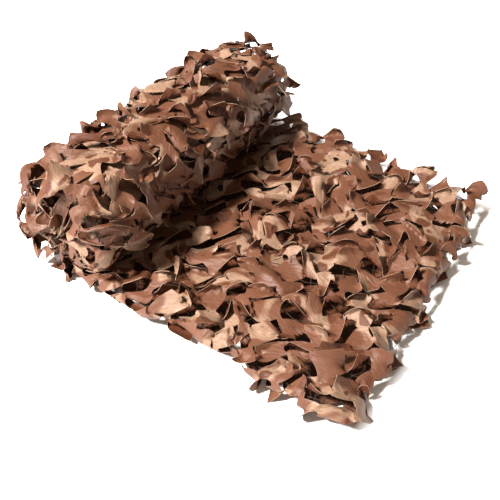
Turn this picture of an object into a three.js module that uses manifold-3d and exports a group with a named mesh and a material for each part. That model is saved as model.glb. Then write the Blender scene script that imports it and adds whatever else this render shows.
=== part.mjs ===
// Camouflage netting, half unrolled. A cloth slit into leaves lies on a knotted carrier net; the two are folded
// once along their length, rolled up, and the last stretch of the net is pulled out flat on the ground.
//
// Millimetres. +X runs along the loose stretch, away from the roll, +Y along the roll's axis and +Z up. The fold
// is on the -Y side and both cut edges are on the +Y side. The origin is the middle of the part's footprint.
import * as THREE from "three";
import { mergeVertices } from "three/addons/utils/BufferGeometryUtils.js";
import Module from "manifold-3d";

// Leaf cloth. Lengths on it are in pitches: from one slit to the next, about 78 mm, which is also a leaf's side.
const clothThickness = 2; // mm
const slitHalf = 0.78; // half a slit's length
const lipAt = 0.42; // where a slit's lips are widest, from its middle
const slitSway = 0.15; // how far an S-shaped slit swings to each side
const middleGap = 0.1; // half the opening at a slit's middle
const raisedLipGap = -0.02; // a raised lip leans over its slit
const loweredLipGap = 0.14;
const lipsSwapped = 0.35; // how often a slit's raised and lowered lips change places halfway along

// Lowest and highest that the cloth stands over its base surface
const neckRise = [-6, -2]; // the necks between leaves, which are tied down to the carrier net
const crownRise = [2, 15]; // the middle of a leaf
const raisedLipRise = [13, 24];
const loweredLipRise = [-4, 5];

// Loose stretch
const looseLeaves = 9; // leaves along it
const layerLeaves = 9; // leaves across each of its two layers
const foldLeaves = 1; // leaves round the fold
const foldSide = -354; // y of the fold's base surface
const cutSide = 374; // y of the cut edges
const foldRadius = 22;
const nearLength = 712; // along the fold
const farLength = 642; // along the cut edges
const endBulge = 12; // how much further the free end reaches halfway across
const topHeight = 58; // base surface of the upper layer
const bottomHeight = 12; // base surface of the lower layer
const pressedShare = 0.54; // how flat the stretch is where it comes out from under the roll
const pressedRelief = 0.3;
const springBack = 250; // length over which it swells to its full height
const edgeShare = 0.84; // how flat it is at its free end
const edgeReach = 90;
const swell = 5; // slow rise and fall of the upper layer
const swellAlong = 95; // mm to a radian of it
const swellAcross = 110;
const edgeWave = 7; // how far the long edges wander
const edgeWaveAlong = 75;

// Carrier net
const netMeshes = 7; // along the loose stretch
const layerMeshes = 7; // across each layer
const netMargin = 26; // from the free end and the cut edges
const cord = 3;
const netClearance = 0.6;
const cordSteps = 2; // straight pieces from knot to knot

// Roll
const rollLeaves = 10; // leaves round it
const nearRadius = 160;
const farRadius = 146;
const endTaper = 14; // how much thinner it gets at its ends
const taperReach = 110;
const rollFrom = -362; // y of its ends
const rollTo = 372;
const turn = 44; // thickness of one turn, which is both folded layers
const turnGrowth = 1.4; // keeps the first turn close to round where it leaves the stretch below
const footPress = 5; // how far the roll is pressed flat where it rests
const sag = 4; // its slow unevenness
const sagAlong = 140; // mm to a radian of it
const skinFrom = 0.3; // radians between the foot and the first and last leaves round the roll
const skinDrop = 2; // how far the leaves are pressed in where the roll lies on the loose stretch
const gapDepth = 14; // from the base surface down to the floor of a gap
const coreDepth = 17; // from the base surface down to the core
const skinRoot = 25; // from the base surface down to where the leaves end inside the core
const endDepth = 34; // from the roll's ends down to the core between the turns
const turnsShown = 2.6;
const windingDepth = 15; // from the base surface down to the windings
const windingThickness = 30;
const windingEdge = 12; // rounding of a winding's edges
const windingCrest = 0.17; // share of the thickness, to each side, where a winding's end stays full
const raggedness = 9; // how unevenly the windings end
const seamGap = 0.3; // parts the roll from the loose stretch
const coreSteps = 32;
const coreStations = 5;
const windingSteps = 15; // in one turn

const wasm = await Module();
wasm.setup();

const { PI, sin, cos, min, max, floor } = Math;
const { lerp: mix, smoothstep: smooth } = THREE.MathUtils;
const fullTurn = 2 * PI;

// A repeatable number from 0 to 1 for a place in the cloth.
function chance(i, j, k) {
  const s = sin(i * 12.9898 + j * 78.233 + k * 37.719) * 43758.5453;
  return s - floor(s);
}

// Collects the points and faces of one closed body.
class Shell {
  positions = [];
  faces = [];

  point(x, y, z) {
    this.positions.push(x, y, z);
    return this.positions.length / 3 - 1;
  }

  triangle(a, b, c) {
    this.faces.push(a, b, c);
  }

  quad(a, b, c, d) {
    this.triangle(a, b, c);
    this.triangle(a, c, d);
  }

  // Joins rings of points, each a closed loop, into a tube with capped ends.
  loft(rings) {
    const sides = rings[0].length;
    for (let r = 0; r + 1 < rings.length; r++) {
      for (let n = 0; n < sides; n++) {
        const next = (n + 1) % sides;
        this.quad(rings[r][n], rings[r][next], rings[r + 1][next], rings[r + 1][n]);
      }
    }
    for (let n = 1; n + 1 < sides; n++) {
      this.triangle(rings[0][0], rings[0][n + 1], rings[0][n]);
      this.triangle(rings.at(-1)[0], rings.at(-1)[n], rings.at(-1)[n + 1]);
    }
  }

  geometry() {
    const made = new THREE.BufferGeometry();
    made.setAttribute("position", new THREE.Float32BufferAttribute(this.positions, 3));
    made.setIndex(this.faces);
    return made;
  }
}

function solidOf(shell) {
  const merged = mergeVertices(shell.geometry());
  const vertProperties = new Float32Array(merged.attributes.position.array);
  const triVerts = new Uint32Array(merged.index.array);
  return new wasm.Manifold(new wasm.Mesh({ numProp: 3, vertProperties, triVerts }));
}

function geometryOf(manifold) {
  const { vertProperties, triVerts } = manifold.getMesh();
  const made = new THREE.BufferGeometry();
  made.setAttribute("position", new THREE.Float32BufferAttribute(vertProperties, 3));
  made.setIndex(Array.from(triVerts));
  return made;
}

// ---- Leaf cloth ----
// An S-shaped slit is cut at every point (i, j) of a square lattice, along u where i + j is even and along v where
// it is odd. The square leaves between the slits hang together by a neck near each of their corners.

const runsAlongU = (i, j) => (i + j) % 2 === 0;

// One lip of a slit stands up and the other lies low, and on some slits they change places halfway along.
function isRaised(i, j, half, side) {
  const raisedSide = chance(i, j, 1) < 0.5 ? 1 : -1;
  const swapped = half < 0 && chance(i, j, 2) < lipsSwapped ? -1 : 1;
  return side === raisedSide * swapped;
}

// A point on the rim of the slit at (i, j): its end, its middle or a lip, on one half and one side of the slit.
function slitPoint(i, j, kind, half, side) {
  const along = runsAlongU(i, j);
  const raised = kind === "lip" && isRaised(i, j, half, side);
  const roll = chance(i * 4 + half, j * 4 + side, 3);
  const sway = along ? slitSway : -slitSway;
  let p = 0;
  let q = side * middleGap;
  let h = mix(...neckRise, roll);
  if (kind === "end") {
    p = half * slitHalf;
    q = 0;
  } else if (kind === "lip") {
    p = half * lipAt;
    q = side * (raised ? raisedLipGap : loweredLipGap) + half * sway;
    h = mix(...(raised ? raisedLipRise : loweredLipRise), roll);
  }
  return along ? { u: i + p, v: j + q, h } : { u: i - q, v: j + p, h };
}

// A leaf's rim, anticlockwise. Each of its sides belongs to a slit and runs from that slit's middle to one end.
function leafRim(i, j) {
  const middleFirst = (a, b, half, side) => [
    [a, b, "middle", 0, side],
    [a, b, "lip", half, side],
    [a, b, "end", half, 0],
  ];
  const endFirst = (...slit) => middleFirst(...slit).reverse();
  if (runsAlongU(i, j)) {
    return [
      middleFirst(i, j, 1, 1),
      middleFirst(i + 1, j, 1, 1),
      middleFirst(i + 1, j + 1, -1, -1),
      middleFirst(i, j + 1, -1, -1),
    ].flat();
  }
  return [
    endFirst(i + 1, j, -1, 1),
    endFirst(i + 1, j + 1, -1, 1),
    endFirst(i, j + 1, 1, -1),
    endFirst(i, j, 1, -1),
  ].flat();
}

// The leaves as one closed body with two faces. face(u, v, h) and under(u, v, h) lay them out, u and v in pitches
// and h over the base surface. The gaps go through, or end at floor(u, v) where that is given.
class LeafCloth extends Shell {
  points = new Map();

  constructor(uLeaves, vLeaves, layers) {
    super();
    this.uLeaves = uLeaves;
    this.vLeaves = vLeaves;
    this.layers = layers;
    const leaves = [];
    for (let i = 0; i < uLeaves; i++) {
      for (let j = 0; j < vLeaves; j++) leaves.push({ i, j, rim: leafRim(i, j) });
    }
    const edges = leaves.flatMap(({ rim }) => rim.map((slit, n) => `${slit}>${rim[(n + 1) % rim.length]}`));
    this.rimEdges = new Set(edges);
    for (const { i, j, rim } of leaves) this.addLeaf(i, j, rim);
    if (layers.floor) this.addFloors();
  }

  // The point of one layer at a place on a slit's rim, or at the crown of a leaf.
  at(layer, slit, { u, v, h } = slitPoint(...slit)) {
    const name = `${layer} ${slit}`;
    if (!this.points.has(name)) this.points.set(name, this.point(...this.layers[layer](u, v, h)));
    return this.points.get(name);
  }

  addLeaf(i, j, rim) {
    const crown = { u: i + 0.5, v: j + 0.5, h: mix(...crownRise, chance(i, j, 4)) };
    const centre = this.at("face", [i, j, "crown"], crown);
    const centreUnder = this.at("under", [i, j, "crown"], crown);
    rim.forEach((slit, n) => {
      const next = rim[(n + 1) % rim.length];
      const [a, b] = [this.at("face", slit), this.at("face", next)];
      this.triangle(centre, a, b);
      this.triangle(centreUnder, this.at("under", next), this.at("under", slit));
      if (this.rimEdges.has(`${next}>${slit}`)) return;
      const foot = this.layers.floor && this.isInside(...slit) ? "floor" : "under";
      this.quad(a, this.at(foot, slit), this.at(foot, next), b);
    });
  }

  isInside(i, j) {
    return i > 0 && j > 0 && i < this.uLeaves && j < this.vLeaves;
  }

  // Gaps with a floor leave the body's under face whole.
  addFloors() {
    for (let i = 1; i < this.uLeaves; i++) {
      for (let j = 1; j < this.vLeaves; j++) {
        this.spanSlit(i, j, "floor", false);
        this.spanSlit(i, j, "under", true);
      }
    }
  }

  spanSlit(i, j, layer, facesDown) {
    const pointAt = (kind, half, side) => this.at(layer, [i, j, kind, half, side]);
    const ring = [
      pointAt("end", 1, 0),
      pointAt("lip", 1, 1),
      pointAt("middle", 0, 1),
      pointAt("lip", -1, 1),
      pointAt("end", -1, 0),
      pointAt("lip", -1, -1),
      pointAt("middle", 0, -1),
      pointAt("lip", 1, -1),
    ];
    for (const [a, b, c] of [[0, 1, 7], [1, 2, 7], [2, 6, 7], [2, 3, 6], [3, 5, 6], [3, 4, 5]]) {
      if (facesDown) this.triangle(ring[c], ring[b], ring[a]);
      else this.triangle(ring[a], ring[b], ring[c]);
    }
  }
}

// ---- Loose stretch ----
// Its section across the net is a flat loop: the lower layer from its cut edge to the fold, the fold, and the upper
// layer back to the other cut edge.

const layerShare = layerLeaves / (2 * layerLeaves + foldLeaves);

// Where a share of the way across the net lies on the loop: its side y, and its angle round the fold.
function onLoop(share) {
  const foldCentre = foldSide + foldRadius;
  if (share <= layerShare) return { y: mix(cutSide, foldCentre, share / layerShare), angle: PI };
  if (share >= 1 - layerShare) return { y: mix(cutSide, foldCentre, (1 - share) / layerShare), angle: 0 };
  return { y: foldCentre, angle: (PI * (1 - layerShare - share)) / (1 - 2 * layerShare) };
}

function reachAt(y) {
  const share = (y - foldSide) / (cutSide - foldSide);
  return mix(nearLength, farLength, share) + endBulge * sin(PI * share);
}

// A point of the loose stretch: along and across are shares of its length and of the net's width, and lift is how
// far it lies outside the loop's base surface.
function loosePoint(along, across, lift, depth) {
  const { y, angle } = onLoop(across);
  const reach = reachAt(y);
  const x = mix(seamGap, reach, along);
  const swelling = smooth(x, 0, springBack);
  const share = mix(pressedShare, 1, swelling) * mix(edgeShare, 1, smooth(reach - x, 0, edgeReach));
  const wave = swell * sin(x / swellAlong) * sin(y / swellAcross);
  const top = topHeight * share + wave * swelling ** 2 * smooth(reach - x, 0, edgeReach);
  const bottom = bottomHeight * share;
  const out = lift * mix(pressedRelief, 1, swelling) - depth;
  const side = y - (foldRadius + out) * sin(angle);
  const height = (top + bottom) / 2 + ((top - bottom) / 2 + out) * cos(angle);
  const wander = edgeWave * sin(x / edgeWaveAlong) * (side / cutSide);
  return [max(x, seamGap), side + wander, max(height, depth)];
}

function looseCloth() {
  const acrossLeaves = 2 * layerLeaves + foldLeaves;
  const place = (u, v, h, depth) => loosePoint(max(u, 0) / looseLeaves, v / acrossLeaves, h, depth);
  return new LeafCloth(looseLeaves, acrossLeaves, {
    face: (u, v, h) => place(u, v, h, 0),
    under: (u, v, h) => place(u, v, h, clothThickness),
  });
}

// ---- Carrier net ----
// Cords run along and across the loose stretch between the cloth's two layers, and turn round inside its fold.

// Where the cords' edges, and the steps of the cords that cross them, lie between two margins. All are shares.
function cordLines(meshes, margin, width) {
  const lines = [];
  for (let n = 0; n <= meshes; n++) {
    const at = mix(margin, 1 - margin - width, n / meshes);
    const nextAt = mix(margin, 1 - margin - width, (n + 1) / meshes);
    lines.push({ at, onCord: true });
    if (n === meshes) lines.push({ at: at + width, onCord: false });
    for (let step = 0; step < cordSteps && n < meshes; step++) {
      lines.push({ at: mix(at + width, nextAt, step / cordSteps), onCord: false });
    }
  }
  return lines;
}

function carrierNet() {
  const shell = new Shell();
  const inset = clothThickness + netClearance - neckRise[0];
  const loopLength = 2 * (cutSide - foldSide);
  const us = cordLines(netMeshes, netMargin / nearLength, cord / nearLength);
  const vs = cordLines(2 * layerMeshes + 1, netMargin / loopLength, cord / loopLength);
  const points = new Map();
  const pointAt = ([a, b], depth) => {
    const name = `${a},${b},${depth}`;
    if (!points.has(name)) points.set(name, shell.point(...loosePoint(us[a].at, vs[b].at, 0, inset + depth)));
    return points.get(name);
  };
  // Cell a, b lies between line a and the next one along the net, and line b and the next one across it.
  const isCord = ([a, b]) => a in us.slice(0, -1) && b in vs.slice(0, -1) && (us[a].onCord || vs[b].onCord);
  for (let a = 0; a + 1 < us.length; a++) {
    for (let b = 0; b + 1 < vs.length; b++) {
      if (!isCord([a, b])) continue;
      const corners = [[a, b], [a + 1, b], [a + 1, b + 1], [a, b + 1]];
      const neighbours = [[a, b - 1], [a + 1, b], [a, b + 1], [a - 1, b]];
      const upper = corners.map((corner) => pointAt(corner, 0));
      const under = corners.map((corner) => pointAt(corner, cord));
      shell.quad(...upper);
      shell.quad(...under.toReversed());
      for (let n = 0; n < 4; n++) {
        const next = (n + 1) % 4;
        if (!isCord(neighbours[n])) shell.quad(upper[n], under[n], under[next], upper[next]);
      }
    }
  }
  return shell;
}

// ---- Roll ----
// Its outer turn grows from one turn's thickness above the ground, where it leaves the top of the loose stretch,
// round over the roll and down to the ground. angle is measured from straight down, towards +X.

function radiusAt(y) {
  const fromEnd = min(y - rollFrom, rollTo - y);
  const taper = endTaper * max(0, 1 - fromEnd / taperReach) ** 2;
  return mix(nearRadius, farRadius, (y - rollFrom) / (rollTo - rollFrom)) - taper;
}

// Radius of the wound surface, some whole turns further in where inward is given.
function windingRadius(angle, y, inward = 0) {
  const grown = (angle / fullTurn) ** turnGrowth;
  const uneven = sag * sin(2 * angle + y / sagAlong) * sin(angle / 2);
  return radiusAt(y) - turn * (inward + 1 - grown) + uneven;
}

function onRoll(angle, radius, y) {
  const height = radiusAt(y) - footPress - radius * cos(angle);
  return [radius * sin(angle), y, max(height, 0)];
}

// The leaves of the roll are pressed flat where it lies over the loose stretch.
const skinRelief = (angle) => smooth(angle, 0.4, 1.3);

function rollSkin() {
  const place = (u, v, liftAt) => {
    const angle = mix(skinFrom, fullTurn - skinFrom, min(max(u / rollLeaves, 0), 1));
    const y = mix(rollTo, rollFrom, v / layerLeaves);
    return onRoll(angle, windingRadius(angle, y) + liftAt(angle), y);
  };
  return new LeafCloth(rollLeaves, layerLeaves, {
    face: (u, v, h) => place(u, v, (angle) => mix(-skinDrop, h, skinRelief(angle))),
    under: (u, v) => place(u, v, () => -skinRoot),
    floor: (u, v) => place(u, v, () => -gapDepth),
  });
}

function rollCore() {
  const shell = new Shell();
  const rings = [];
  for (let station = 0; station <= coreStations; station++) {
    const y = mix(rollTo - endDepth, rollFrom + endDepth, station / coreStations);
    const ring = [];
    for (let step = 0; step <= coreSteps; step++) {
      const angle = (fullTurn * step) / coreSteps;
      const bare = angle < skinFrom || fullTurn - angle < skinFrom;
      const radius = windingRadius(angle, y) - (bare ? 0 : coreDepth);
      ring.push(shell.point(...onRoll(angle, radius, y)));
    }
    rings.push(ring);
  }
  shell.loft(rings);
  return shell;
}

// The windings stand out of the core at both ends of the roll, with rounded, uneven edges.
function rollWindings() {
  const shell = new Shell();
  const rings = [];
  const steps = Math.round(turnsShown * windingSteps);
  const endProfile = [
    { outward: 0.5, inset: windingEdge },
    { outward: windingCrest, inset: 0 },
    { outward: -windingCrest, inset: 0 },
    { outward: -0.5, inset: windingEdge },
  ];
  for (let step = 1; step <= steps; step++) {
    const inward = floor(step / windingSteps);
    const angle = fullTurn * (1 - step / windingSteps + inward);
    const pointAt = (outward, y) => {
      const depth = windingDepth + windingThickness * (0.5 - outward);
      return shell.point(...onRoll(angle, windingRadius(angle, y, inward) - depth, y));
    };
    const fromY = rollFrom + raggedness * chance(step, 0, 5);
    const toY = rollTo - raggedness * chance(step, 1, 5);
    rings.push([
      ...endProfile.map(({ outward, inset }) => pointAt(outward, fromY + inset)),
      ...endProfile.toReversed().map(({ outward, inset }) => pointAt(outward, toY - inset)),
    ]);
  }
  shell.loft(rings);
  return shell;
}

// ---- The part ----

const leafFinish = { color: 0x8a5f48, roughness: 0.62, metalness: 0 };
const cordFinish = { color: 0x2b2a22, roughness: 0.8, metalness: 0 };

function addMesh(group, name, geometry, finish) {
  const mesh = new THREE.Mesh(geometry, new THREE.MeshStandardMaterial(finish));
  mesh.name = name;
  group.add(mesh);
}

const netting = new THREE.Group();
const rolled = solidOf(rollCore()).add(solidOf(rollWindings())).add(solidOf(rollSkin()));
addMesh(netting, "rolled_net", geometryOf(rolled), leafFinish);
addMesh(netting, "loose_leaf_cloth", looseCloth().geometry(), leafFinish);
addMesh(netting, "carrier_net", carrierNet().geometry(), cordFinish);

const footprint = new THREE.Box3().setFromObject(netting);
const middle = footprint.getCenter(new THREE.Vector3());
netting.position.set(-middle.x, -middle.y, -footprint.min.z);

export default netting;
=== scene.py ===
import math

import bpy
import numpy as np
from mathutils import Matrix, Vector


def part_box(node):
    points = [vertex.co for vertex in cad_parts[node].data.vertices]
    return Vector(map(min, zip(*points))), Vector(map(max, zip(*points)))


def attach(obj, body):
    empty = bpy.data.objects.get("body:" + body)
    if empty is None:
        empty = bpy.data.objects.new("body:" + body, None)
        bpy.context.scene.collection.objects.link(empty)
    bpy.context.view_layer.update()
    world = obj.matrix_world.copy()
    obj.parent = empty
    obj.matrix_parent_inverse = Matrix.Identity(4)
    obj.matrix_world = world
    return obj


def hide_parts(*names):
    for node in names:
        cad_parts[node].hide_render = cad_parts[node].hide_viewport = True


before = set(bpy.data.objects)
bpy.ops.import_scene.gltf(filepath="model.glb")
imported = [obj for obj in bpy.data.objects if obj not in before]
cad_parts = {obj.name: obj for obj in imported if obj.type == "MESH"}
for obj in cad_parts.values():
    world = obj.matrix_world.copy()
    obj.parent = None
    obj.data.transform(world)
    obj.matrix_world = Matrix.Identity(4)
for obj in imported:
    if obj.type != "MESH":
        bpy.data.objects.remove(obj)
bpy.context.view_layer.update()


# The camera comes first. It looks down over the free corner of the loose stretch.
view = {
    "target": (0.0234, -0.1086, 0.060),
    "azimuth": 35.87,      # degrees
    "elevation": 45.02,
    "distance": 1.905,
    "lens": 62.03,
}


def addCamera():
    azimuth, elevation = math.radians(view["azimuth"]), math.radians(view["elevation"])
    across = math.cos(elevation)
    back = Vector((math.sin(azimuth) * across, -math.cos(azimuth) * across, math.sin(elevation)))
    camera = bpy.data.objects.new("camera", bpy.data.cameras.new("camera"))
    camera.data.lens = view["lens"]
    camera.location = Vector(view["target"]) + back * view["distance"]
    camera.rotation_euler = back.to_track_quat("Z", "Y").to_euler()
    bpy.context.scene.collection.objects.link(camera)
    bpy.context.scene.camera = camera


addCamera()
print("camera made")


# Leaf cloth as it is cut. Lengths are in leaves, from one slit to the next. An S-shaped slit lies at every
# point of a square lattice, along u where i + j is even and along v where it is odd, with a leaf between each
# four slits.
leafCloth = {
    "leaf": 0.072,          # metres
    "slitShare": 0.79,      # of the way from a slit's middle to the next slit that crosses its line
    "tipGrid": 14,          # grid lines in a leaf, on which the points of the swings fall
    "tips": (5.4, 8.6),     # the lines that they lie between
    "sway": 0.44,           # how far a slit swings to each side
    "swayShare": (0.65, 1.15),  # of that, at random
    "pointed": 1.2,         # above 1, the tongues have hollow sides
    "thickness": 0.0008,    # metres
    "sharpAngle": 35,       # degrees, above which an edge is crisp
    "slack": -0.03,         # how much longer the cloth is than the net it's tied to, or shorter below 0
    "open": 0.14,           # how far the necks beside a slit are drawn away from it
    "drift": 0.2,           # how far the leaves stray along the net
    "edgeDrift": 0.35,      # the share of that at the cloth's edges
    "neckStray": 0.08,      # how far each neck is moved at random
    "neckFrom": 0.04,       # where a neck begins and ends, from the slit beside it
    "neckTo": 0.16,
    "neckHold": 0.25,       # share of the way to its tie that it goes at each step
    "neckRise": (-0.2, 0.2),
    "lean": 0.6,            # slope of a leaf before it settles
    "crease": (0.1, 0.6),   # slope on each side of a leaf's crease
    "creaseStray": 0.3,     # how far the crease is from the leaf's middle
    "creaseLevel": 0.2,     # how far from its crease a leaf is at its own height
    "ridges": 0.6,          # share of the creases that stand up
    "tongueFrom": (0.02, 0.22),  # where a tongue grows, from the middle of its slit
    "tongueTo": (0.62, 0.86),    # where it dies away
    "rootRadius": 0.1,      # half the width over which its root bends
    "tongueWithin": (0.9, 0.6),  # how near the middle of its slit it lies, along the slit and across it
    "tongueEdge": 0.02,     # how far from its root its facet begins
    "tongueAngle": (55, 120),    # degrees
    "lowTongues": 0.2,      # share of the tongues that hang instead
    "lowAngle": -0.6,       # radians
    "lipDrop": 0.06,        # of the edge that faces a tongue, over lipWidth
    "lipWidth": 0.25,
    "stiffness": 0.6,       # against bending, except at creases and the roots of tongues
    "flatness": 0.08,       # how firmly each facet is pressed flat
    "highest": 0.42,        # bounds that it keeps to as it settles
    "lowest": -0.28,
}
floorHeight = 0.0006  # metres, of the middle of the cloth where it lies on the ground

# How the cloth settles. A coarse cloth is one with few cells in a leaf.
settling = {
    "steps": 120,
    "coarseSteps": 60,
    "coarseCells": 10,      # or fewer
    "pressEvery": 3,        # steps
    "share": 0.9,           # of the way to its place that a point goes at each step
}


def chance(i, j, k):  # a repeatable number from 0 to 1 for a place in the cloth
    s = np.sin(i * 12.9898 + j * 78.233 + k * 37.719) * 43758.5453
    return s - np.floor(s)


def smooth(x, low, high):
    t = np.clip((x - low) / (high - low), 0, 1)
    return t * t * (3 - 2 * t)


def mix(a, b, t):
    return a + (b - a) * t


# A sum of waves. Each has its size, its pace along x, its pace along y, and where it starts.
def waves(x, y, each):
    return sum(size * np.sin(paceX * x + paceY * y + start) for size, paceX, paceY, start in each)


# How far the slit at i, j lies to the side, at p from its middle. It swings out to one point each way.
def slitSwing(i, j, p):
    tip = np.round(mix(*leafCloth["tips"], chance(i, j, 21))) / leafCloth["tipGrid"]
    size = leafCloth["sway"] * mix(*leafCloth["swayShare"], chance(i, j, 22))
    q = np.abs(p)
    share = np.clip(np.minimum(q / tip, (1 - q) / (1 - tip)), 0, 1)
    return size * np.sign(p) * share ** leafCloth["pointed"]


# How far the flat cloth's grid is moved sideways at u, v, so that its lines follow the slits on either side.
def gridSwing(u, v, odd):
    shift = 0
    for j in (np.floor(v), np.floor(v) + 1):
        first = (j + odd) % 2
        i = 2 * np.round((u - first) / 2) + first
        swing = slitSwing(j, i, u - i) if odd else slitSwing(i, j, u - i)
        shift = shift + swing * (1 - np.abs(v - j))
    return shift


# The cut cloth as a grid: cells by their corner numbers, each point's place in the grid, and its place in the
# flat, where the grid is warped to the slits.
def cutGrid(uLeaves, vLeaves, cells):
    slitCells = round(leafCloth["slitShare"] * cells)
    us, vs = uLeaves * cells, vLeaves * cells
    number = np.arange((us + 1) * (vs + 1)).reshape(us + 1, vs + 1)
    a, b = np.meshgrid(np.arange(us + 1), np.arange(vs + 1), indexing="ij")
    places = [np.stack([a, b], -1).reshape(-1, 2)]
    corners = np.stack([number[:-1, :-1], number[1:, :-1], number[1:, 1:], number[:-1, 1:]], -1)
    count = number.size
    for i in range(uLeaves + 1):
        for j in range(vLeaves + 1):
            alongU = (i + j) % 2 == 0
            if (alongU and j in (0, vLeaves)) or (not alongU and i in (0, uLeaves)):
                continue  # it lies along the cloth's own edge
            for step in range(1 - slitCells, slitCells):
                a, b = (i * cells + step, j * cells) if alongU else (i * cells, j * cells + step)
                if not (0 <= a <= us and 0 <= b <= vs):
                    continue
                # The cells on one side of the slit get a corner of their own.
                if a < us and b < vs:
                    corners[a, b, 0] = count
                if alongU and a > 0:
                    corners[a - 1, b, 1] = count
                if not alongU and b > 0:
                    corners[a, b - 1, 3] = count
                places.append(np.array([[a, b]]))
                count += 1
    at = np.concatenate(places) / cells
    u, v = at[:, 0], at[:, 1]
    flat = np.stack([u + gridSwing(v, u, 1), v + gridSwing(u, v, 0)], -1)
    return corners, at, flat


def unique(pairs):
    return np.unique(np.sort(pairs, 1), axis=0)


# Pairs of points that keep their distance: neighbours, diagonals, and points two apart that keep the cloth
# smooth.
def clothPairs(corners):
    c00, c10, c11, c01 = (corners[..., n] for n in range(4))
    sides = [(c00, c10), (c01, c11), (c00, c01), (c10, c11), (c00, c11), (c10, c01)]
    near = np.concatenate([np.stack([p.ravel(), q.ravel()], -1) for p, q in sides])
    far = []
    for p, mid, midNext, q in [
        (c00[:-1], c10[:-1], c00[1:], c10[1:]),
        (c01[:-1], c11[:-1], c01[1:], c11[1:]),
        (c00[:, :-1], c01[:, :-1], c00[:, 1:], c01[:, 1:]),
        (c10[:, :-1], c11[:, :-1], c10[:, 1:], c11[:, 1:]),
    ]:
        joined = mid == midNext
        far.append(np.stack([p[joined], q[joined]], -1))
    return unique(near), unique(np.concatenate(far))


# Facets are numbered by the leaf, or from here on by the tongue.
firstTongue = 100000
rowLength = 64


# The cloth before it settles. Each leaf leans its own way and has a crease, and each slit's two tongues are
# bent out at their roots. A tongue lies on one side of its slit to the one end, and on the other side to the
# other end. Each point is judged by the cells around it, since a slit's two edges share one place in the
# grid. The facets that come back with the points number the parts that folds divide. wild says, point by
# point, how much of the relief there is.
def firstShape(corners, flat, seed, cells, wild):
    a, b = np.meshgrid(np.arange(corners.shape[0]), np.arange(corners.shape[1]), indexing="ij")
    total = np.zeros((len(flat), 3))
    for n in range(4):
        for axis, middle in enumerate((a, b)):
            total[:, axis] += np.bincount(corners[..., n].ravel(), (middle.ravel() + 0.5) / cells, len(flat))
        total[:, 2] += np.bincount(corners[..., n].ravel(), minlength=len(flat))
    u, v = total[:, 0] / total[:, 2], total[:, 1] / total[:, 2]
    i, j = np.floor(u), np.floor(v)
    leanU, leanV = (leafCloth["lean"] * (2 * chance(i, j, seed + n) - 1) for n in (7, 8))
    fromU, fromV = flat[:, 0] - i - 0.5, flat[:, 1] - j - 0.5
    turned = math.pi * chance(i, j, seed + 9)
    stray = leafCloth["creaseStray"] * (chance(i, j, seed + 10) - 0.5)
    fromCrease = fromU * np.cos(turned) + fromV * np.sin(turned) + stray
    upOrDown = np.where(chance(i, j, seed + 12) < leafCloth["ridges"], -1, 1)
    crease = mix(*leafCloth["crease"], chance(i, j, seed + 11)) * upOrDown
    rise = leanU * fromU + leanV * fromV + crease * (np.abs(fromCrease) - leafCloth["creaseLevel"])
    points = np.column_stack([flat, rise * wild])
    facets = ((i * rowLength + j) * 2 + (fromCrease > 0)).astype(int)
    root = leafCloth["rootRadius"]
    farthest, widest = leafCloth["tongueWithin"]
    for i in range(int(u.max()) + 2):
        for j in range(int(v.max()) + 2):
            along = (i + j) % 2  # the axis across the slit is the other one
            across = 1 - along
            side = (v - j) if along == 0 else (u - i)
            reach = flat[:, along] - (i, j)[along]
            beyond = flat[:, across] - (i, j)[across]
            for half in (1, -1):
                close = (reach * half > 0) & (reach * half < farthest) & (np.abs(side) < widest)
                ends = smooth(reach * half, *leafCloth["tongueFrom"])
                ends = ends * (1 - smooth(reach * half, *leafCloth["tongueTo"]))
                tongue = close & (side * half < 0)
                bent = beyond[tongue] * half
                bent = np.where(np.abs(bent) < root, (bent + root) ** 2 / (4 * root), np.maximum(bent, 0))
                bent = bent * ends[tongue]
                angle = mix(*leafCloth["tongueAngle"], chance(4 * i + half, j, seed))
                angle = math.radians(angle) * wild[tongue]
                if chance(4 * i + half, j, seed + 1) < leafCloth["lowTongues"]:
                    angle = leafCloth["lowAngle"] * wild[tongue]
                points[tongue, 2] += np.sin(angle) * bent
                points[tongue, across] -= half * (1 - np.cos(angle)) * bent
                facet = tongue & (beyond * half > leafCloth["tongueEdge"])
                facets[facet] = firstTongue + 4 * (i * rowLength + j) + half
                lip = close & (side * half > 0)
                share = np.clip(1 - np.abs(side[lip]) / leafCloth["lipWidth"], 0, 1)
                points[lip, 2] -= leafCloth["lipDrop"] * ends[lip] * share
    return points, facets


# Presses each facet towards its own plane, as the folds of a stiff thin cloth stay flat between its creases.
def pressFlat(points, facets, count):
    size = np.bincount(facets, minlength=count)[:, None]
    centre = np.stack([np.bincount(facets, points[:, n], count) for n in range(3)], -1) / size
    off = points - centre[facets]
    spread = [np.bincount(facets, off[:, m] * off[:, n], count) for m in range(3) for n in range(3)]
    normal = np.linalg.eigh(np.stack(spread, -1).reshape(-1, 3, 3))[1][facets, :, 0]
    away = (off * normal).sum(1)[:, None]
    return points - leafCloth["flatness"] * away * normal


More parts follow.
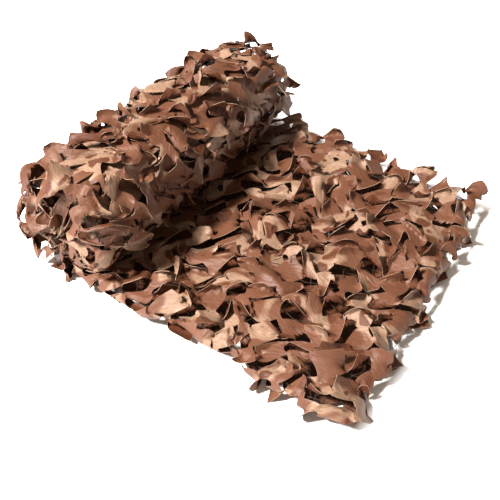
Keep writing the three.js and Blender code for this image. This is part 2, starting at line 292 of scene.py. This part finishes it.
# Where each neck is tied to the net. A neck lies beyond a slit's end, so next to the middle of a slit that
# crosses it.
def neckTies(at, flat, seed, wild):
    i, j = np.round(at[:, 0]), np.round(at[:, 1])
    offU, offV = np.abs(at[:, 0] - i), np.abs(at[:, 1] - j)
    odd = (i + j) % 2 == 1
    start, end = leafCloth["neckFrom"], leafCloth["neckTo"]
    alongU = (offU < end) & (offU > start) & (offV < 0.01)
    alongV = (offV < end) & (offV > start) & (offU < 0.01)
    neck = np.where(odd, alongU, alongV)
    rise = mix(*leafCloth["neckRise"], chance(i[neck], j[neck], seed + 3)) * wild[neck]
    tie = np.column_stack([flat[neck], rise])
    for axis, away in enumerate((np.where(odd, at[:, 0] - i, 0), np.where(odd, 0, at[:, 1] - j))):
        tie[:, axis] += leafCloth["open"] * np.sign(np.round(away[neck], 3)) * wild[neck]
        tie[:, axis] += leafCloth["neckStray"] * (chance(i[neck], j[neck], seed + 4 + axis) - 0.5)
    return neck, tie


# Lets the bent cloth find its shape: it keeps its lengths, the necks are tied down, and nothing goes out of
# bounds. weight gives how far the tongues are drawn along u at each share of the way along it. wildness is
# how much the cloth stands up and opens, all over or at each share of the way along v.
def settledCloth(uLeaves, vLeaves, cells, seed, weight=None, wildness=1):
    steps = settling["steps"] if cells > settling["coarseCells"] else settling["coarseSteps"]
    corners, at, flat = cutGrid(uLeaves, vLeaves, cells)
    near, far = clothPairs(corners)
    wild = np.ones(len(at)) * (wildness(at[:, 1] / vLeaves) if callable(wildness) else wildness)
    points, facets = firstShape(corners, flat, seed, cells, wild)
    far = far[facets[far[:, 0]] == facets[far[:, 1]]]
    free = np.where(facets >= firstTongue, 1 / steps, 0)
    drawn = free * weight(at[:, 0] / uLeaves) if weight else 0
    names, facets = np.unique(facets, return_inverse=True)
    rules = []
    for pairs, stiffness, onlyApart in ((near, 1.0, False), (far, leafCloth["stiffness"], True)):
        rest = np.linalg.norm(flat[pairs[:, 1]] - flat[pairs[:, 0]], axis=1) * (1 + leafCloth["slack"])
        rules.append((pairs, rest, stiffness, onlyApart))
    held = sum(np.bincount(pairs.ravel(), minlength=len(at)) for pairs, *_ in rules)[:, None]
    neck, tie = neckTies(at, flat, seed, wild)
    for step in range(steps):
        if step % settling["pressEvery"] == 0:
            points = pressFlat(points, facets, len(names))
        move = np.zeros_like(points)
        for pairs, rest, stiffness, onlyApart in rules:
            gap = points[pairs[:, 1]] - points[pairs[:, 0]]
            length = np.linalg.norm(gap, axis=1)
            pull = stiffness * (length - rest) / np.maximum(length, 1e-6)
            if onlyApart:
                pull = np.minimum(pull, 0)
            gap *= pull[:, None]
            for axis in range(3):
                move[:, axis] += np.bincount(pairs[:, 0], gap[:, axis], len(at))
                move[:, axis] -= np.bincount(pairs[:, 1], gap[:, axis], len(at))
        points += settling["share"] * move / held
        points[:, 0] += drawn
        points[neck] = mix(points[neck], tie, leafCloth["neckHold"])
        points[:, 2] = np.clip(points[:, 2], leafCloth["lowest"], leafCloth["highest"])
    u, v = points[:, 0].copy(), points[:, 1].copy()
    toEdge = np.minimum(np.minimum(u, uLeaves - u), np.minimum(v, vLeaves - v))
    drift = leafCloth["drift"] * mix(leafCloth["edgeDrift"], 1, smooth(toEdge, 0, 2))
    points[:, 0] += drift * waves(u, v, [(1, 0.7, 1.9, seed), (0.6, -1.6, 3.1, 2 * seed)])
    points[:, 1] += drift * waves(u, v, [(1, 1.7, -0.8, 3 * seed), (0.6, 2.9, 1.8, seed)])
    return corners, flat, points


def finished(piece):  # its modifiers applied, and a crisp cut edge
    mesh = bpy.data.meshes.new_from_object(piece.evaluated_get(bpy.context.evaluated_depsgraph_get()))
    piece.modifiers.clear()
    piece.data = mesh
    mesh.set_sharp_from_angle(angle=math.radians(leafCloth["sharpAngle"]))
    return piece


# A cloth's mesh. Its points are in metres, and its map holds its places in the flat, in metres too.
def clothPiece(name, corners, flat, points, node):
    cutLeaf = leafCloth["leaf"] * (1 + leafCloth["slack"])
    faces = corners.reshape(-1, 4)
    used, faces = np.unique(faces, return_inverse=True)
    faces = faces.reshape(-1, 4)
    mesh = bpy.data.meshes.new(name)
    mesh.from_pydata(points[used].tolist(), [], faces.tolist())
    uvs = flat[used][faces.ravel()] * cutLeaf
    mesh.uv_layers.new(name="cloth").data.foreach_set("uv", uvs.ravel())
    mesh.polygons.foreach_set("use_smooth", np.ones(len(faces), bool))
    for material in leafFinish:
        mesh.materials.append(material)
    piece = bpy.data.objects.new(name, mesh)
    bpy.context.scene.collection.objects.link(piece)
    thick = piece.modifiers.new("thick", "SOLIDIFY")
    thick.thickness = leafCloth["thickness"]
    thick.offset = 0
    # The reverse's finish is painted darker, as shade.
    thick.material_offset = 1  # the reverse has the next finish, and the cut edges the one after
    # The cut edges' finish is painted paler, as a highlight.
    thick.material_offset_rim = 2
    finished(piece)
    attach(piece, "root")
    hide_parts(node)


# The loose stretch. across goes over the lower layer, round the fold and back over the upper layer. Lengths
# and radii are in metres.
loose = {
    "leaves": 10,          # along it
    "layerLeaves": 10,     # across each layer
    "foldSide": -0.3618,   # y of the fold's base surface
    "cutSide": 0.3662,     # y of the cut edges
    "foldRadius": 0.022,
    "nearLength": 0.712,
    "farLength": 0.642,
    "endBulge": 0.012,
    "top": 0.058,
    "bottom": 0.012,
    "pressed": 0.54,       # share of its height at the roll
    "springBack": 0.25,    # how far from the roll it has its whole height
    "edge": 0.9,           # share of its height at its edges
    "edgeWidth": 0.08,
    "topWave": 0.005,      # height of the waves in its top
    "topWaveStep": (0.095, 0.11),  # metres a radian, along it and across it
    "sideWave": 0.007,     # how far its long sides sway
    "sideWaveStep": 0.075,
    "seamLift": 0.3,       # share of the cloth's own relief at the roll
    "endRadius": 0.035,    # its upper layer bends down over the free end
    "tuck": 0.014,         # how much shorter the lower layer is
    "cells": 14,           # in a leaf
    "seed": 3,
    "calm": 0.05,          # how much the lower layer stands up, up to the fold
    "calmTo": (0.44, 0.48),
}
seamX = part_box("loose_leaf_cloth")[0].x


# path is the way along a layer. At the free end the upper layer's path bends down.
def loosePoints(along, across, lift):
    layer = loose["layerLeaves"] / (2 * loose["layerLeaves"] + 1)
    foldCentre = loose["foldSide"] + loose["foldRadius"]
    width = loose["cutSide"] - foldCentre
    fromFold = np.maximum(layer - across, across - 1 + layer)
    y = foldCentre + (width - loose["tuck"] * (across < 0.5)) * np.maximum(fromFold, 0) / layer
    angle = math.pi * np.clip((1 - layer - across) / (1 - 2 * layer), 0, 1)
    share = (y - loose["foldSide"]) / (loose["cutSide"] - loose["foldSide"])
    below = 1 - smooth(across, layer, 1 - layer)
    reach = mix(loose["nearLength"], loose["farLength"], share) + loose["endBulge"] * np.sin(math.pi * share)
    radius = loose["endRadius"]
    path = (reach + mix(radius * (math.pi / 2 - 1), -loose["tuck"], below)) * along
    past = np.maximum(path - (reach - radius), 0) * (1 - below)
    bent = np.minimum(past / radius, math.pi / 2)
    x = path - past + radius * np.sin(bent)
    swelling = smooth(x, 0, loose["springBack"])
    toEdge = np.minimum(reach - x, loose["cutSide"] - y)
    flatness = mix(loose["pressed"], 1, swelling)
    flatness = flatness * mix(loose["edge"], 1, smooth(toEdge, 0, loose["edgeWidth"]))
    stepX, stepY = loose["topWaveStep"]
    top = loose["top"] * flatness
    top = top + loose["topWave"] * np.sin(x / stepX) * np.sin(y / stepY) * swelling ** 2
    bottom = loose["bottom"] * flatness
    out = lift * mix(loose["seamLift"], 1, swelling)
    side = y - (loose["foldRadius"] + out) * np.sin(angle)
    side = side + loose["sideWave"] * np.sin(x / loose["sideWaveStep"]) * y / loose["cutSide"]
    height = (top + bottom) / 2 + ((top - bottom) / 2 + out * np.cos(bent)) * np.cos(angle)
    height = height - radius * (1 - np.cos(bent)) - (past - radius * bent)
    x = np.maximum(x + out * np.sin(bent), 0) + seamX
    return np.stack([x, side, np.maximum(height, floorHeight)], -1)


# The roll. angle is in radians from straight down, towards +X, and round to the ground again; below 0 it's in
# the inner turns. Lengths and radii are in metres.
roll = {
    "nearRadius": 0.160,
    "farRadius": 0.146,
    "turn": 0.044,         # how much smaller the radius is one turn in
    "growth": 1.4,         # power by which the outermost turn widens
    "layerGap": 0.010,     # between the net's two layers
    "from": -0.3698,       # y of its ends
    "to": 0.3642,
    "footPress": 0.005,    # how far its weight sinks it
    "taper": 0.014,        # how much smaller its ends are
    "taperLength": 0.11,
    "uneven": 0.004,       # height of the waves in its surface
    "unevenStep": 0.14,    # metres a radian, along it
    "core": 0.004,         # smallest radius
    "seam": 0.2,           # angle at which the net's outer layer comes out from the turns
    "innerSeam": 0.3,      # and its inner one
    "seamGap": 0.05,       # angle from the outer layer's end to the ground
    "innerSeamGap": 0.2,
    "rising": (0.4, 1.3),  # angles between which the outer sheets get their relief
    "innerRelief": 0.7,    # share of it in the inner turns
    "endStrip": 0.13,      # how far in from each end the innermost turns are made
    "nearTurns": 2.9,      # in all, at each end
    "farTurns": 2.5,
    "hang": 0.45,          # how far the tongues on its sides hang down, in leaves
    "endSink": 0.008,      # how far in each turn's fold lies from that of the one around it
    "sinkWidth": 0.08,     # over which it comes back
    "shoulder": 0.035,     # the outermost turn bends in over the near end
    "cap": 0.125,          # how far the cloth goes in over that end
    "capDip": 0.12,        # slope of the cap, into the roll
    "capRipple": 0.1,      # how much that slope varies
}


def rollPoints(angle, y, lift):
    fromEnd = np.maximum(np.minimum(y - roll["from"], roll["to"] - y), 0)
    taper = roll["taper"] * np.maximum(0, 1 - fromEnd / roll["taperLength"]) ** 2
    share = (y - roll["from"]) / (roll["to"] - roll["from"])
    outer = mix(roll["nearRadius"], roll["farRadius"], share) - taper
    turns = angle / (2 * math.pi)
    grown = np.where(turns > 0, np.maximum(turns, 0) ** roll["growth"], turns)
    wave = roll["uneven"] * np.sin(2 * angle + y / roll["unevenStep"]) * np.sin(np.maximum(angle, 0) / 2)
    radius = np.maximum(outer - roll["turn"] * (1 - grown) + wave + lift, roll["core"])
    height = outer - roll["footPress"] - radius * np.cos(angle)
    return np.stack([radius * np.sin(angle) + seamX, y, np.maximum(height, floorHeight)], -1)


# The net is folded along its middle before it's rolled, so at the near end its two layers join in a fold.
# fromFold is in metres along the cloth: above 0 it's on the outer layer, and below 0 it's on the inner one.
def foldedRollPoints(angle, fromFold, lift):
    radius = roll["layerGap"] / 2
    around = np.clip(fromFold / radius, -math.pi / 2, math.pi / 2)
    straight = np.maximum(np.abs(fromFold) - radius * math.pi / 2, 0)
    y = roll["from"] + roll["shoulder"] / 2 + radius + straight - (radius + lift) * np.cos(around)
    sunk = 1 - smooth(straight, 0, roll["sinkWidth"])
    y = y - roll["endSink"] * np.minimum(angle / (2 * math.pi), 0) * sunk
    return rollPoints(angle, y, (radius + lift) * np.sin(around) - radius)


# The outermost turn's cloth is loose enough to fall in over the near end. There fromEdge is below 0.
def cappedRollPoints(angle, fromEdge, lift):
    shoulder = roll["shoulder"]
    bent = np.clip(-fromEdge / shoulder, 0, math.pi / 2)
    inward = np.maximum(-fromEdge - shoulder * math.pi / 2, 0)
    y = roll["from"] + shoulder + np.maximum(fromEdge, 0) - (shoulder + lift) * np.sin(bent)
    y = y + inward * (roll["capDip"] + roll["capRipple"] * np.sin(3 * angle + 1))
    return rollPoints(angle, y, (shoulder + lift) * np.cos(bent) - shoulder - inward)


class Nodes:  # adds nodes to one tree
    def __init__(self, tree):
        self.tree = tree

    def add(self, kind, settings=None, sockets=None):
        node = self.tree.nodes.new(kind)
        for key, value in (settings or {}).items():
            setattr(node, key, value)
        for key, value in (sockets or {}).items():
            self.put(node.inputs[key], value)
        return node

    def put(self, socket, value):
        value = getattr(value, "socket", value)
        if isinstance(value, bpy.types.NodeSocket):
            self.tree.links.new(value, socket)
        else:
            socket.default_value = value


class Amount:  # a socket that can stand in a sum
    def __init__(self, nodes, socket):
        self.nodes, self.socket = nodes, socket

    def maths(self, operation, first, second):
        node = self.nodes.add("ShaderNodeMath", {"operation": operation}, {0: first, 1: second})
        return Amount(self.nodes, node.outputs[0])

    def __add__(self, other):
        return self.maths("ADD", self, other)

    def __sub__(self, other):
        return self.maths("SUBTRACT", self, other)

    def __rsub__(self, other):
        return self.maths("SUBTRACT", other, self)

    def __mul__(self, other):
        return self.maths("MULTIPLY", self, other)

    def size(self):
        return self.maths("ABSOLUTE", self, 0)

    def larger(self, other):
        return self.maths("MAXIMUM", self, other)

    __radd__ = __add__
    __rmul__ = __mul__


# The leaf cloth is a satin polyester, woven in ribs and printed in browns, with darker spots at random.
# Its pale print is partly a painted highlight, for the satin's sheen. Its reverse is duller in hue, and it is
# painted darker, as shade. The cut edges' paler colour is a painted highlight, where they catch the light.
cloth = {
    # Pale print, partly a painted highlight for the satin's sheen.
    "pale": (0.230, 0.140, 0.092),
    "brown": (0.106, 0.041, 0.021),
    "dark": (0.070, 0.022, 0.009),
    # The reverse's darkness is painted shade; only its duller hue is its own.
    "reverse": (0.075, 0.019, 0.004),
    # The cut edges' colour is a painted highlight, paler than the face, where they catch the light.
    "edge": (0.30, 0.20, 0.14),
    "faceRoughness": 0.55,
    "reverseRoughness": 0.6,
    "edgeRoughness": 0.8,
    "patchScale": 11,      # of the print
    "patchEdge": (0.44, 0.475),
    "spotScale": 2.3,      # times that of the patches
    "spotEdge": (0.6, 0.63),
    "streakScale": (60, 420, 1),
    "streakEdge": (0.4, 0.7),
    "streakShare": 0.5,
    "mottlingScale": 38,
    "mottling": 0.15,      # how much the roughness varies
    "ribScale": 45,        # which makes 143 ribs a metre
    "creaseScale": 70,
    "relief": 0.0004,      # metres
    "ribRelief": 0.25,     # times that
    "creaseRelief": 4,
}


class Surface:
    def __init__(self, name, roughness):
        self.material = bpy.data.materials.new(name)
        self.material.use_nodes = True
        self.nodes = Nodes(self.material.node_tree)
        self.shader = self.material.node_tree.nodes["Principled BSDF"]
        self.set("Roughness", roughness)
        self.set("Specular IOR Level", 0.3)

    def set(self, name, value):
        self.nodes.put(self.shader.inputs[name], value)

    def amount(self, kind, settings, sockets, output):
        return Amount(self.nodes, self.nodes.add(kind, settings, sockets).outputs[output])

    def noise(self, place, scale, detail=2):
        sockets = {"Vector": place, "Scale": scale, "Detail": detail}
        return self.amount("ShaderNodeTexNoise", None, sockets, "Fac")

    def place(self):
        return self.nodes.add("ShaderNodeTexCoord").outputs["Object"]

    def step(self, amount, low, high):
        sockets = {"Value": amount, "From Min": low, "From Max": high}
        return self.amount("ShaderNodeMapRange", None, sockets, "Result")

    def blend(self, factor, first, second):
        sockets = {0: factor, 6: (*first, 1) if isinstance(first, tuple) else first, 7: (*second, 1)}
        return self.nodes.add("ShaderNodeMix", {"data_type": "RGBA"}, sockets).outputs[2]

    def stretched(self, place, scale):
        return self.nodes.add("ShaderNodeMapping", None, {"Vector": place, "Scale": scale}).outputs["Vector"]

    def raised(self, height, distance, strength):
        sockets = {"Height": height, "Distance": distance, "Strength": strength}
        self.set("Normal", self.nodes.add("ShaderNodeBump", None, sockets).outputs["Normal"])


def clothFinish(name, pale, brown, dark, roughness):
    surface = Surface(name, roughness)
    weave = surface.nodes.add("ShaderNodeUVMap", {"uv_map": "cloth"}).outputs["UV"]
    patches = surface.step(surface.noise(weave, cloth["patchScale"], 1.5), *cloth["patchEdge"])
    # Darker spots, at random over the print.
    spots = surface.noise(weave, cloth["spotScale"] * cloth["patchScale"], 1.5)
    spots = surface.step(spots, *cloth["spotEdge"])
    streaks = surface.noise(surface.stretched(weave, cloth["streakScale"]), 1, 3)
    mottling = surface.noise(weave, cloth["mottlingScale"])
    # The pale patches are print, and partly a painted highlight for the satin's sheen.
    colour = surface.blend(spots, surface.blend(patches, pale, brown), dark)
    streaked = surface.step(streaks, *cloth["streakEdge"]) * cloth["streakShare"]
    surface.set("Base Color", surface.blend(streaked, colour, dark))
    surface.set("Roughness", surface.step(mottling, 0.3, 0.7) * cloth["mottling"] + (roughness - 0.07))
    ribs = surface.amount(
        "ShaderNodeTexWave",
        {"wave_type": "BANDS", "bands_direction": "Y"},
        {"Vector": weave, "Scale": cloth["ribScale"], "Distortion": 0.6, "Detail": 1},
        "Fac",
    )
    creases = surface.noise(surface.stretched(weave, (1, 2.2, 1)), cloth["creaseScale"])
    height = ribs * cloth["ribRelief"] + creases * cloth["creaseRelief"] + streaks
    surface.raised(height, cloth["relief"], 1.0)
    return surface.material


leafFinish = [
    clothFinish("leafFace", cloth["pale"], cloth["brown"], cloth["dark"], cloth["faceRoughness"]),
    # The reverse finish is painted darker than the face, as shade.
    clothFinish("leafReverseShaded", cloth["brown"], cloth["dark"], cloth["reverse"], cloth["reverseRoughness"]),
    # The cut edges' finish is painted paler, as a highlight.
    clothFinish("leafEdgeHighlight", cloth["edge"], cloth["edge"], cloth["pale"], cloth["edgeRoughness"]),
]


def addLooseCloth():
    cells = loose["cells"]
    layers = 2 * loose["layerLeaves"] + 1
    calmBelow = lambda share: mix(loose["calm"], 1, smooth(share, *loose["calmTo"]))
    corners, flat, points = settledCloth(loose["leaves"], layers, cells, loose["seed"], None, calmBelow)
    lift = points[:, 2] * leafCloth["leaf"]
    placed = loosePoints(points[:, 0] / loose["leaves"], points[:, 1] / layers, lift)
    split = loose["layerLeaves"] * cells
    node = "loose_leaf_cloth"
    clothPiece("looseLowerCloth", corners[:, :split], flat, placed, node)
    clothPiece("looseUpperCloth", corners[:, split:], flat, placed, node)


# One sheet of the roll, between two angles and between two places on the cloth's other axis, in the order
# that keeps its face outwards. lay puts it there: it takes an angle, a place on the other axis and the lift.
def addRollSheet(name, lay, start, end, left, right, cells, seed, wildness=1):
    samples = 80
    level = np.full(samples, 0.2 * leafCloth["leaf"])
    around = lay(np.linspace(start, end, samples), np.full(samples, (left + right) / 2), level)
    length = np.linalg.norm(np.diff(around, axis=0), axis=1).sum()
    uLeaves, vLeaves = round(length / leafCloth["leaf"]), round(abs(right - left) / leafCloth["leaf"])
    weight = lambda share: -roll["hang"] * np.sin(mix(start, end, share))
    corners, flat, points = settledCloth(uLeaves, vLeaves, cells, seed, weight, wildness)
    angle = mix(start, end, points[:, 0] / uLeaves)
    relief = smooth(angle, *roll["rising"]) if start > 0 else roll["innerRelief"]
    placed = lay(angle, mix(left, right, points[:, 1] / vLeaves), points[:, 2] * leafCloth["leaf"] * relief)
    clothPiece(name, corners, flat, placed, "rolled_net")


def addRollCloth():
    whole = 2 * math.pi
    length = roll["to"] - roll["from"] - roll["shoulder"]
    seam, strip, left, right = roll["seam"], roll["endStrip"], roll["to"], roll["from"]
    nearStart, farStart = (whole * (1 - roll[name]) for name in ("nearTurns", "farTurns"))
    inset = lambda angle, y, lift: rollPoints(angle, y, lift - roll["layerGap"])
    innerSeam = roll["innerSeam"]
    addRollSheet(
        "rollOuterCloth", cappedRollPoints, seam, whole - roll["seamGap"], length, -roll["cap"],
        cells=14, seed=11, wildness=1.15,
    )
    addRollSheet(
        "rollSecondCloth", inset, innerSeam, whole - roll["innerSeamGap"], left, right + strip / 4,
        cells=8, seed=12, wildness=0.3,
    )
    addRollSheet(
        "rollInnerTurn", rollPoints, seam - whole, seam, left - strip, right + strip,
        cells=7, seed=13, wildness=0.5,
    )
    addRollSheet(
        "rollNearTurns", foldedRollPoints, nearStart, seam, strip, -strip,
        cells=14, seed=14,
    )
    addRollSheet(
        "rollFarTurns", rollPoints, farStart, seam, left, left - strip,
        cells=10, seed=15,
    )
    addRollSheet(
        "rollFarLayers", inset, farStart, innerSeam, left, left - strip,
        cells=10, seed=16,
    )


addLooseCloth()
print("loose cloth made")
addRollCloth()
print("roll cloth made")


# The knotted net that carries the leaves. It lies close under the leaf cloth, and its cords are pulled about
# a little. Lengths and radii are in metres.
net = {
    "cordRadius": 0.0007,
    "knotRadius": 0.0018,
    "steps": 3,            # pieces of cord from knot to knot
    "sway": 0.45,          # how far they're pulled, in those pieces
    "below": 0.012,        # how far under the leaf cloth it lies
    "looseMeshes": (14, 29),
    "rollMeshes": (16, 15),
    "looseInset": 0.02,    # share of the cloth that's left without a net at each edge
    "rollAngles": (0.4, 6.1),
    "rollInset": 0.01,     # metres
    "dark": (0.016, 0.009, 0.005),
    "light": (0.046, 0.027, 0.015),
    "roughness": 0.85,
    "fibreScale": 420,
    "fibreRelief": 0.0004,
}


def cordFinish():
    surface = Surface("netCord", net["roughness"])
    fibres = surface.noise(surface.place(), net["fibreScale"])
    surface.set("Base Color", surface.blend(fibres, net["dark"], net["light"]))
    surface.raised(fibres, net["fibreRelief"], 0.6)
    return surface.material


def netTree(material):
    tree = bpy.data.node_groups.new("carrierNet", "GeometryNodeTree")
    socket = tree.interface.new_socket
    socket("Lines", in_out="INPUT", socket_type="NodeSocketGeometry")
    inputs = {
        "cordRadius": socket("Cord Radius", in_out="INPUT", socket_type="NodeSocketFloat").identifier,
        "knotRadius": socket("Knot Radius", in_out="INPUT", socket_type="NodeSocketFloat").identifier,
    }
    socket("Net", in_out="OUTPUT", socket_type="NodeSocketGeometry")

    nodes = Nodes(tree)
    given = nodes.add("NodeGroupInput").outputs
    lines = nodes.add("GeometryNodeMeshToCurve", None, {"Mesh": given["Lines"]})
    sockets = {"Resolution": 6, "Radius": given["Cord Radius"]}
    ring = nodes.add("GeometryNodeCurvePrimitiveCircle", None, sockets)
    sockets = {"Curve": lines.outputs["Curve"], "Profile Curve": ring.outputs["Curve"]}
    cords = nodes.add("GeometryNodeCurveToMesh", None, sockets)
    isKnot = nodes.add("GeometryNodeInputNamedAttribute", {"data_type": "BOOLEAN"}, {"Name": "knot"})
    ball = nodes.add("GeometryNodeMeshIcoSphere", None, {"Radius": given["Knot Radius"], "Subdivisions": 1})
    sockets = {
        "Points": given["Lines"],
        "Selection": isKnot.outputs["Attribute"],
        "Instance": ball.outputs["Mesh"],
    }
    knots = nodes.add("GeometryNodeInstanceOnPoints", None, sockets)
    both = nodes.add("GeometryNodeJoinGeometry", None, {"Geometry": cords.outputs["Mesh"]})
    nodes.put(both.inputs["Geometry"], knots.outputs["Instances"])
    real = nodes.add("GeometryNodeRealizeInstances", None, {"Geometry": both.outputs["Geometry"]})
    sockets = {"Geometry": real.outputs["Geometry"], "Material": material}
    dressed = nodes.add("GeometryNodeSetMaterial", None, sockets)
    nodes.add("NodeGroupOutput", None, {"Net": dressed.outputs["Geometry"]})
    return tree, inputs


# place puts a point of the net, given how far it is along each of its sides, from 0 to 1.
def addNet(name, meshes, place, tree, inputs):
    steps = net["steps"]
    count = [each * steps + 1 for each in meshes]
    a, b = np.meshgrid(np.arange(count[0]), np.arange(count[1]), indexing="ij")
    keep = (a % steps == 0) | (b % steps == 0)
    number = np.full(count, -1)
    number[keep] = np.arange(keep.sum())
    lines = []
    for p, q in ((number[:-1], number[1:]), (number[:, :-1], number[:, 1:])):
        both = (p >= 0) & (q >= 0)
        lines.append(np.stack([p[both], q[both]], -1))
    a, b = a[keep], b[keep]
    u = (a + waves(a, b, [(net["sway"], 0.7, 1.3, 0)])) / (count[0] - 1)
    v = (b + waves(a, b, [(net["sway"], 1.1, -0.6, 0)])) / (count[1] - 1)
    mesh = bpy.data.meshes.new(name)
    mesh.from_pydata(place(np.clip(u, 0, 1), np.clip(v, 0, 1)).tolist(), np.concatenate(lines).tolist(), [])
    knot = mesh.attributes.new("knot", "BOOLEAN", "POINT")
    knot.data.foreach_set("value", (a % steps == 0) & (b % steps == 0))
    piece = bpy.data.objects.new(name, mesh)
    bpy.context.scene.collection.objects.link(piece)
    made = piece.modifiers.new("net", "NODES")
    made.node_group = tree
    made[inputs["cordRadius"]] = net["cordRadius"]
    made[inputs["knotRadius"]] = net["knotRadius"]
    return finished(piece)


netTreeMade, netInputs = netTree(cordFinish())
netSides = (net["looseInset"], 1 - net["looseInset"])
looseNet = addNet(
    "looseCarrierNet",
    net["looseMeshes"],
    lambda u, v: loosePoints(mix(*netSides, u), mix(*netSides, v), -net["below"]),
    netTreeMade,
    netInputs,
)
netEnds = (roll["from"] + net["rollInset"], roll["to"] - net["rollInset"])
rollNet = addNet(
    "rollCarrierNet",
    net["rollMeshes"],
    lambda u, v: rollPoints(mix(*net["rollAngles"], u), mix(*netEnds, v), -net["below"]),
    netTreeMade,
    netInputs,
)
for piece, node in ((looseNet, "carrier_net"), (rollNet, "rolled_net")):
    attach(piece, "root")
    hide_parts(node)
print("carrier net made")


# The floor is a lit table: it glows outside the model's own place, so that shadows on it stay faint.
stage = {
    "floor": 30,                 # metres
    "floorColour": (0.9, 0.9, 0.9, 1),
    "floorRoughness": 0.9,
    "glowBeyond": (0.43, 0.38),  # metres along x and along y, either way
    "glowWidth": 0.03,           # over which it comes up
    "sky": (1, 0.83, 0.68, 1),
    "skyStrength": 0.41,
    "lampColour": (1, 0.97, 0.93),
    "lamps": [
        {"name": "key", "place": (-2.4, -3.7, 5.0), "size": 1.0, "power": 1780},
        {"name": "fill", "place": (1.5, -2.0, 1.6), "size": 2.0, "power": 1},
    ],
}


def addStage():
    bpy.ops.mesh.primitive_plane_add(size=stage["floor"])
    floor = bpy.context.object
    floor.name = "floor"
    table = Surface("paleFloor", stage["floorRoughness"])
    table.set("Base Color", stage["floorColour"])
    x, y = (table.amount("ShaderNodeSeparateXYZ", None, {"Vector": table.place()}, axis) for axis in (0, 1))
    beyondX, beyondY = stage["glowBeyond"]
    outside = table.step((x.size() - beyondX).larger(y.size() - beyondY), 0, stage["glowWidth"])
    table.set("Emission Color", table.blend(outside, (0, 0, 0), (1, 1, 1)))
    table.set("Emission Strength", 1.0)
    floor.data.materials.append(table.material)
    world = bpy.data.worlds.new("studio")
    bpy.context.scene.world = world
    world.use_nodes = True
    sky = world.node_tree.nodes["Background"]
    sky.inputs["Color"].default_value = stage["sky"]
    sky.inputs["Strength"].default_value = stage["skyStrength"]
    for given in stage["lamps"]:
        lamp = bpy.data.objects.new(given["name"], bpy.data.lights.new(given["name"], "AREA"))
        lamp.data.size = given["size"]
        lamp.data.energy = given["power"]
        lamp.data.color = stage["lampColour"]
        lamp.location = given["place"]
        lamp.rotation_euler = Vector(given["place"]).to_track_quat("Z", "Y").to_euler()
        bpy.context.scene.collection.objects.link(lamp)
    bpy.context.scene.view_settings.view_transform = "Standard"


addStage()
print("stage made")
